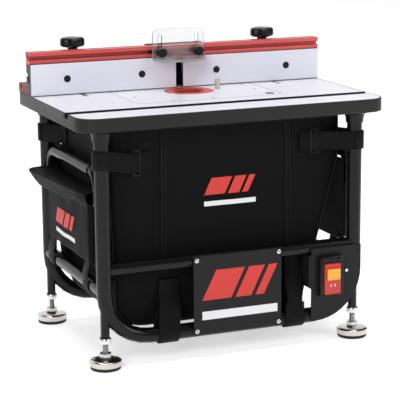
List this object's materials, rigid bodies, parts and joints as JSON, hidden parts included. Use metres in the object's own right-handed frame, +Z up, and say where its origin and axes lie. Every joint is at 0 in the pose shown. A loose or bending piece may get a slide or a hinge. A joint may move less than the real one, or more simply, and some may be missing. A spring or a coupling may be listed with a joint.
{
  "type": "router table",
  "caption": "Portable router table with a split fence, clear bit guard, router lift, bent tube frame, levelling feet, safety switch and a hanging fabric dust bag.",
  "frame": {"origin": "on the floor under the middle of the table top", "axes": "+X along the fence to the right as the user sees it, +Y away from the user, +Z up"},
  "size_m": [0.612, 0.41, 0.588],
  "materials": {
    "laminate": "pale grey satin laminate on fibreboard",
    "edge_band": "charcoal satin edge band",
    "black_aluminium": "black anodised",
    "insert_plate": "satin white phenolic",
    "red_ring": "orange-red anodised",
    "starter_pin": "translucent ivory",
    "steel": "bright zinc-plated",
    "cast_aluminium": "bead-blasted casting",
    "red_aluminium": "red anodised extrusion",
    "fence_face": "white low-friction facing",
    "black_plastic": "moulded black nylon",
    "clear_plastic": "clear polycarbonate",
    "black_tube": "satin black powder coat",
    "black_panel": "satin black sheet",
    "black_screw": "black oxide",
    "switch_red": "red moulded",
    "switch_yellow": "amber moulded",
    "nickel": "bright nickel over steel",
    "nylon": "black woven nylon"
  },
  "bodies": {
    "table": {"table_top": "laminate", "edge_band": "edge_band", "mitre_track": "black_aluminium", "insert_plate": "insert_plate", "starter_pin": "starter_pin", "lift_post_left": "steel", "lift_post_right": "steel", "lift_base": "cast_aluminium", "frame_front": "black_tube", "frame_rear": "black_tube", "cross_rail_front": "black_tube", "cross_rail_rear": "black_tube", "side_rail_left": "black_tube", "side_rail_right": "black_tube", "carry_handle_left": "black_tube", "carry_handle_right": "black_tube", "nameplate": "black_panel", "switch_plate": "black_panel", "switch_box": "black_plastic", "bag_front": "nylon", "bag_rear": "nylon", "bag_left": "nylon", "bag_right": "nylon", "bag_floor": "nylon", "side_pouch_left": "nylon", "side_pouch_right": "nylon", "leg_bracket_front_left": "black_tube", "leg_bracket_front_right": "black_tube", "leg_bracket_rear_left": "black_tube", "leg_bracket_rear_right": "black_tube"},
    "fence": {"fence_body": "red_aluminium", "fence_rail": "red_aluminium", "dust_port": "black_plastic", "fence_bolt_left": "steel", "fence_bolt_right": "steel", "guard_bar": "black_aluminium"},
    "face_left": {"fence_face_left": "fence_face", "face_screw_left_inner": "black_screw", "face_screw_left_outer": "black_screw"},
    "face_right": {"fence_face_right": "fence_face", "face_screw_right_inner": "black_screw", "face_screw_right_outer": "black_screw"},
    "fence_knob_left_body": {"fence_knob_left": "black_plastic"},
    "fence_knob_right_body": {"fence_knob_right": "black_plastic"},
    "guard_body": {"guard": "clear_plastic"},
    "guard_knob_left_body": {"guard_knob_left": "black_plastic"},
    "guard_knob_right_body": {"guard_knob_right": "black_plastic"},
    "ring": {"insert_ring": "red_ring"},
    "lift": {"lift_carriage": "cast_aluminium"},
    "lift_screw_body": {"lift_screw": "steel"},
    "rocker": {"switch_paddle": "switch_red"},
    "key": {"safety_key": "switch_yellow"},
    "foot_front_left": {"foot_pad_front_left": "nickel"},
    "stem_front_left": {"foot_stem_front_left": "steel"},
    "foot_front_right": {"foot_pad_front_right": "nickel"},
    "stem_front_right": {"foot_stem_front_right": "steel"},
    "foot_rear_left": {"foot_pad_rear_left": "nickel"},
    "stem_rear_left": {"foot_stem_rear_left": "steel"},
    "foot_rear_right": {"foot_pad_rear_right": "nickel"},
    "stem_rear_right": {"foot_stem_rear_right": "steel"}
  },
  "joints": [
    {"name": "fence_travel", "type": "slide", "parent": "table", "child": "fence", "axis": [0, 1, 0], "range_m": [-0.038, 0.035]},
    {"name": "face_left_slide", "type": "slide", "parent": "fence", "child": "face_left", "axis": [1, 0, 0], "range_m": [-0.03, 0.0065]},
    {"name": "face_right_slide", "type": "slide", "parent": "fence", "child": "face_right", "axis": [1, 0, 0], "range_m": [-0.0065, 0.03]},
    {"name": "fence_knob_left_turn", "type": "hinge", "parent": "fence", "child": "fence_knob_left_body", "pos_m": [-0.203, 0.147, 0.5558], "axis": [0, 0, 1], "range_deg": [0, 540]},
    {"name": "fence_knob_right_turn", "type": "hinge", "parent": "fence", "child": "fence_knob_right_body", "pos_m": [0.203, 0.147, 0.5558], "axis": [0, 0, 1], "range_deg": [0, 540]},
    {"name": "guard_travel", "type": "slide", "parent": "fence", "child": "guard_body", "axis": [0, 0, 1], "range_m": [-0.03, 0]},
    {"name": "guard_knob_left_turn", "type": "hinge", "parent": "fence", "child": "guard_knob_left_body", "pos_m": [-0.0424, 0.0918, 0.54305], "axis": [0, -1, 0], "range_deg": [0, 540]},
    {"name": "guard_knob_right_turn", "type": "hinge", "parent": "fence", "child": "guard_knob_right_body", "pos_m": [0.0344, 0.0918, 0.54305], "axis": [0, -1, 0], "range_deg": [0, 540]},
    {"name": "ring_twist", "type": "hinge", "parent": "table", "child": "ring", "pos_m": [0, 0.046, 0.47], "axis": [0, 0, 1], "range_deg": [0, 15]},
    {"name": "lift_travel", "type": "slide", "parent": "table", "child": "lift", "axis": [0, 0, 1], "range_m": [-0.07, 0.012]},
    {"name": "lift_screw_turn", "type": "hinge", "parent": "table", "child": "lift_screw_body", "pos_m": [0.1285, -0.053, 0.4655], "axis": [0, 0, 1], "range_deg": [-15900, 2750]},
    {"name": "switch_rock", "type": "hinge", "parent": "table", "child": "rocker", "pos_m": [0.195, -0.1891, 0.128], "axis": [1, 0, 0], "range_deg": [-8, 0]},
    {"name": "key_pull", "type": "slide", "parent": "rocker", "child": "key", "axis": [0, -1, 0], "range_m": [0, 0.025]},
    {"name": "foot_front_left_height", "type": "slide", "parent": "table", "child": "foot_front_left", "axis": [0, 0, -1], "range_m": [0, 0.02]},
    {"name": "foot_front_left_turn", "type": "hinge", "parent": "foot_front_left", "child": "stem_front_left", "pos_m": [-0.254, -0.165, 0.0285], "axis": [0, 0, 1], "range_deg": [-10, 4130]},
    {"name": "foot_front_right_height", "type": "slide", "parent": "table", "child": "foot_front_right", "axis": [0, 0, -1], "range_m": [0, 0.02]},
    {"name": "foot_front_right_turn", "type": "hinge", "parent": "foot_front_right", "child": "stem_front_right", "pos_m": [0.254, -0.165, 0.0285], "axis": [0, 0, 1], "range_deg": [-10, 4130]},
    {"name": "foot_rear_left_height", "type": "slide", "parent": "table", "child": "foot_rear_left", "axis": [0, 0, -1], "range_m": [0, 0.02]},
    {"name": "foot_rear_left_turn", "type": "hinge", "parent": "foot_rear_left", "child": "stem_rear_left", "pos_m": [-0.254, 0.165, 0.0285], "axis": [0, 0, 1], "range_deg": [-10, 4130]},
    {"name": "foot_rear_right_height", "type": "slide", "parent": "table", "child": "foot_rear_right", "axis": [0, 0, -1], "range_m": [0, 0.02]},
    {"name": "foot_rear_right_turn", "type": "hinge", "parent": "foot_rear_right", "child": "stem_rear_right", "pos_m": [0.254, 0.165, 0.0285], "axis": [0, 0, 1], "range_deg": [-10, 4130]}
  ],
  "couplings": [
    {"joint": "lift_screw_turn", "follows": "lift_travel", "rad_per_m": 3957.8},
    {"joint": "foot_front_left_turn", "follows": "foot_front_left_height", "rad_per_m": 3590.4},
    {"joint": "foot_front_right_turn", "follows": "foot_front_right_height", "rad_per_m": 3590.4},
    {"joint": "foot_rear_left_turn", "follows": "foot_rear_left_height", "rad_per_m": 3590.4},
    {"joint": "foot_rear_right_turn", "follows": "foot_rear_right_height", "rad_per_m": 3590.4}
  ]
}
